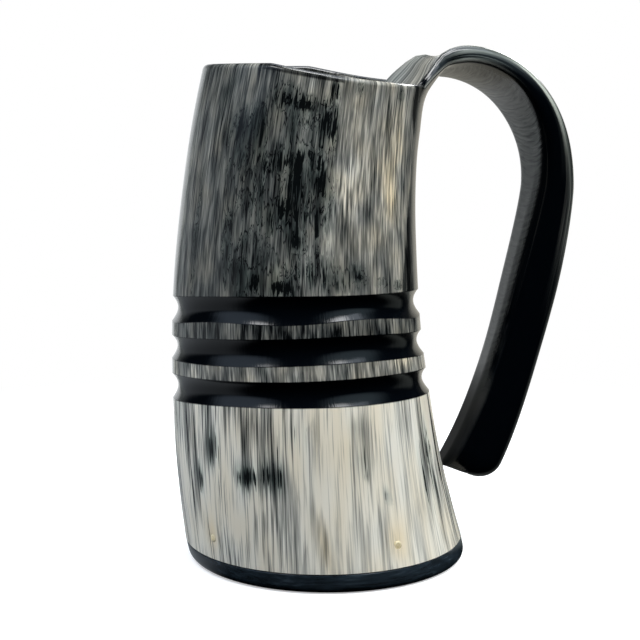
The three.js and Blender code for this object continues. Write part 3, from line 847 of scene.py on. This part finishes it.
# Resin: honey coloured and glossy, with darker and clearer clouds, and faint ripples from the pouring.
haze_size, ripple_size = 14.3, 6.25
resin_finish = new_finish("amber_resin")
tree = resin_finish.node_tree
spot = add(tree, "ShaderNodeTexCoord").outputs["Object"]
clouds = add(tree, "ShaderNodeTexNoise", {
    "Vector": spot, "Scale": 1 / (haze_size * mm), "Detail": 3.0, "Roughness": 0.55})
colour = add(tree, "ShaderNodeValToRGB", {0: clouds}, stops=[
    (0.3, "#8a6a35"), (0.5, "#b0904f"), (0.7, "#cdb27a")])
ripples = add(tree, "ShaderNodeTexNoise", {"Vector": spot, "Scale": 1 / (ripple_size * mm), "Detail": 1.0})
bump = add(tree, "ShaderNodeBump", {"Strength": 0.15, "Distance": 0.0004, "Height": ripples})
shader = add(tree, "ShaderNodeBsdfPrincipled", {
    "Base Color": colour, "Roughness": 0.08, "IOR": 1.52, "Normal": bump})
add(tree, "ShaderNodeOutputMaterial", {"Surface": shader})
seal = new_piece("poured_floor", seal_shape, resin_finish)
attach(seal, "root")
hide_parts("floor_seal")

# Pins
# Four split wooden pins driven through the wall into the plug, cut off and sanded flush, so only
# their pale ends show.
# Pin wood: yellowish, with the end grain as rings about the pin's own axis, given in millimetres.
ring_spacing, speck_size = 0.9, 0.25
pin_finish = new_finish("pale_pin_wood")
tree = pin_finish.node_tree
end_grain = add(tree, "ShaderNodeAttribute", attribute_name="end_grain").outputs["Vector"]
rings = add(tree, "ShaderNodeTexWave", {
    "Vector": end_grain, "Scale": wave_length / ring_spacing, "Distortion": 2.0, "Detail": 2.0},
    wave_type="RINGS", rings_direction="X")
pores = add(tree, "ShaderNodeTexNoise", {"Vector": end_grain, "Scale": 1 / speck_size, "Detail": 2.0})
grained = calc(tree, "MULTIPLY_ADD", pores, 0.8, rings)
colour = add(tree, "ShaderNodeValToRGB", {0: grained}, stops=[
    (0.3, "#e0d4ae"), (0.7, "#e8dec0"), (1.0, "#d6c69c")])
shader = add(tree, "ShaderNodeBsdfPrincipled", {"Base Color": colour, "Roughness": 0.4})
add(tree, "ShaderNodeOutputMaterial", {"Surface": shader})
pin_out = horn_radius(pin_height)
pin_in = pin_out - pin_length
pin_point = 0.8
pin_break = 0.12
pin_crown = 0.05
for i, angle in enumerate(pin_angles):
    pin_shape = turned([
        (0, pin_in), (pin_point, pin_in), (pin_radius, pin_in + pin_point), (pin_radius, pin_out - pin_break),
        (pin_radius - pin_break, pin_out), (pin_radius / 2, pin_out + 0.8 * pin_crown),
        (0, pin_out + pin_crown)], 32)
    end_grain = pin_shape.verts.layers.float_vector.new("end_grain")
    for vert in pin_shape.verts:
        vert[end_grain] = Vector((vert.co.z, vert.co.x, vert.co.y))
    placed = Matrix.Translation((middle_x(pin_height), 0, pin_height)) @ Matrix.Rotation(angle, 4, "Z")
    bmesh.ops.transform(pin_shape, verts=pin_shape.verts, matrix=placed @ Matrix.Rotation(pi / 2, 4, "Y"))
    pin = new_piece("plug_pin_end_%d" % (i + 1), pin_shape, pin_finish)
    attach(pin, "root")
    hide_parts("plug_pin_%d" % (i + 1))

# Floor, light and camera
# A white table in a studio: big soft lamps left and right of the camera and above, a white backdrop
# behind and left of the mug and a dark room in front of it.
table = bmesh.new()
bmesh.ops.create_grid(table, x_segments=1, y_segments=1, size=3)
floor_mesh = bpy.data.meshes.new("table_top")
table.to_mesh(floor_mesh)
table.free()
table_top = bpy.data.objects.new("table_top", floor_mesh)
bpy.context.scene.collection.objects.link(table_top)

# What the polished horn mirrors level with it: azimuth from the front, elevation, half width and soft
# edge in degrees, brightness and colour. The table is bright behind, and a pale wall stands on the left.
room_places = (
    (177, 0, 15, 4, 1.0, "#f4f8fa"), (145, 0, 15, 4, 0.6, "#fffbec"), (243, 0, 28, 26, 0.35, "#e4edf6"),
    (200, 0, 4, 6, 0.16, "#f4fff8"), (105, 0, 12, 20, 0.2, "#f4fff8"))
# Soft glows of the studio high above the camera: wide ones, and a bright core in each.
high_places = (
    (-84, 40, 8, 26, 0.85, "#cfe4fc"), (44, 42, 6, 26, 0.75, "#cfeaf8"),
    (-67, 60, 2, 8, 9, "#ffffff"), (37, 60, 2, 8, 9, "#ffffff"))


# Direction from the mug by azimuth from the front and elevation, both in degrees.
def direction(azimuth, elevation):
    a, e = radians(azimuth), radians(elevation)
    return Vector((sin(a) * cos(e), -cos(a) * cos(e), sin(e)))


# Adds up the light of such places for a direction that a node gives.
def room_light(tree, outwards, places):
    light = paint("#020202")
    for azimuth, elevation, half_width, edge, brightness, colour in places:
        towards = direction(azimuth, elevation)
        facing = calc_vector(tree, "DOT_PRODUCT", outwards, towards)
        rim, core = cos(radians(half_width + edge)), cos(radians(half_width))
        share = soft_step(tree, facing.outputs["Value"], rim, core)
        light = add(tree, "ShaderNodeMix", {
            0: share, 6: light, 7: [part * brightness for part in paint(colour)]}, data_type="RGBA",
            blend_type="ADD").outputs[2]
    return light


# White table: seen, it is matt with the mug's shadow and runs out to plain white. Mirrored, it is the room.
floor_finish = new_finish("white_table")
tree = floor_finish.node_tree
seen = add(tree, "ShaderNodeLightPath").outputs["Is Camera Ray"]
spot = add(tree, "ShaderNodeTexCoord").outputs["Object"]
away = calc_vector(tree, "LENGTH", spot).outputs["Value"]
far = soft_step(tree, away, 0.09, 0.3)
shade = add(tree, "ShaderNodeBsdfDiffuse", {"Color": paint("#e6e6e6")})
glow = add(tree, "ShaderNodeEmission", {"Color": paint("#ffffff"), "Strength": 0.35})
near = add(tree, "ShaderNodeAddShader", {0: shade, 1: glow})
white = add(tree, "ShaderNodeEmission", {"Color": paint("#ffffff"), "Strength": 1.0})
bright = add(tree, "ShaderNodeMixShader", {0: far, 1: near, 2: white})
outwards = calc_vector(tree, "NORMALIZE", spot)
mirrored = add(tree, "ShaderNodeEmission", {"Color": room_light(tree, outwards, room_places)})
surface = add(tree, "ShaderNodeMixShader", {0: seen, 1: mirrored, 2: bright})
add(tree, "ShaderNodeOutputMaterial", {"Surface": surface})
floor_mesh.materials.append(floor_finish)

studio = bpy.data.worlds.new("studio")
bpy.context.scene.world = studio
studio.use_nodes = True
tree = studio.node_tree
tree.nodes.clear()
where = add(tree, "ShaderNodeTexCoord").outputs["Generated"]
flat_way = calc_vector(tree, "MULTIPLY", where, (1.0, 1.0, 0.0))
flat_way = calc_vector(tree, "NORMALIZE", flat_way)
steep = add(tree, "ShaderNodeSeparateXYZ", {0: where}).outputs["Z"]
low = add(tree, "ShaderNodeMapRange", {
    "Value": steep, "From Min": 0.06, "From Max": 0.3, "To Min": 1.0, "To Max": 0.02},
    interpolation_type="SMOOTHSTEP")
around_mug = add(tree, "ShaderNodeMix", {0: 1.0, 6: room_light(tree, flat_way, room_places), 7: low},
                 data_type="RGBA", blend_type="MULTIPLY").outputs[2]
mirrored = add(tree, "ShaderNodeMix", {0: 1.0, 6: around_mug, 7: room_light(tree, where, high_places)},
               data_type="RGBA", blend_type="ADD").outputs[2]
seen = add(tree, "ShaderNodeLightPath").outputs["Is Camera Ray"]
colour = add(tree, "ShaderNodeMix", {0: seen, 6: mirrored, 7: paint("#ffffff")}, data_type="RGBA")
air = add(tree, "ShaderNodeBackground", {"Color": colour.outputs[2], "Strength": 1.0})
add(tree, "ShaderNodeOutputWorld", {"Surface": air})


# A lamp behind a soft cloth, sizes in metres. In the polish the soft glows stand for the two big ones.
def soft_lamp(name, azimuth, elevation, distance, width, height, power, colour, mirrored=True):
    lamp = bpy.data.lights.new(name, "AREA")
    lamp.shape = "RECTANGLE"
    lamp.size, lamp.size_y = width, height
    lamp.energy = power
    lamp.color = paint(colour)[:3]
    aim = Vector((0, 0, 0.08))
    away = direction(azimuth, elevation)
    holder = bpy.data.objects.new(name, lamp)
    holder.location = aim + away * distance
    holder.rotation_euler = away.to_track_quat("Z", "Y").to_euler()
    holder.visible_camera = False
    holder.visible_glossy = mirrored
    bpy.context.scene.collection.objects.link(holder)


soft_lamp("left_softbox", -82, 52, 1.2, 1.6, 1.2, 17.5, "#f4f8ff", mirrored=False)
soft_lamp("right_softbox", 46, 50, 1.2, 1.4, 1.1, 17.5, "#ffffff", mirrored=False)
soft_lamp("top_softbox", 70, 84, 1.2, 0.4, 0.4, 6, "#ffffff")
soft_lamp("overhead_panel", 107, 70, 1.2, 1.7, 0.6, 6.5, "#eaf2ff")
soft_lamp("back_lamp", 130, 28, 1.1, 0.35, 0.3, 4, "#ffffff")

# The camera was fitted to the outline, the foot's ellipse and the rings of the photo.
camera = bpy.data.cameras.new("camera")
camera.sensor_width = 36
camera.lens = 85.06
viewer = bpy.data.objects.new("camera", camera)
viewer.location = Vector((-149.76, -434.94, 144.01)) * mm
viewer.rotation_euler = Vector((0.317, 0.9362, -0.152)).to_track_quat("-Z", "Y").to_euler()
bpy.context.scene.collection.objects.link(viewer)
bpy.context.scene.camera = viewer
bpy.context.scene.view_settings.view_transform = "Standard"
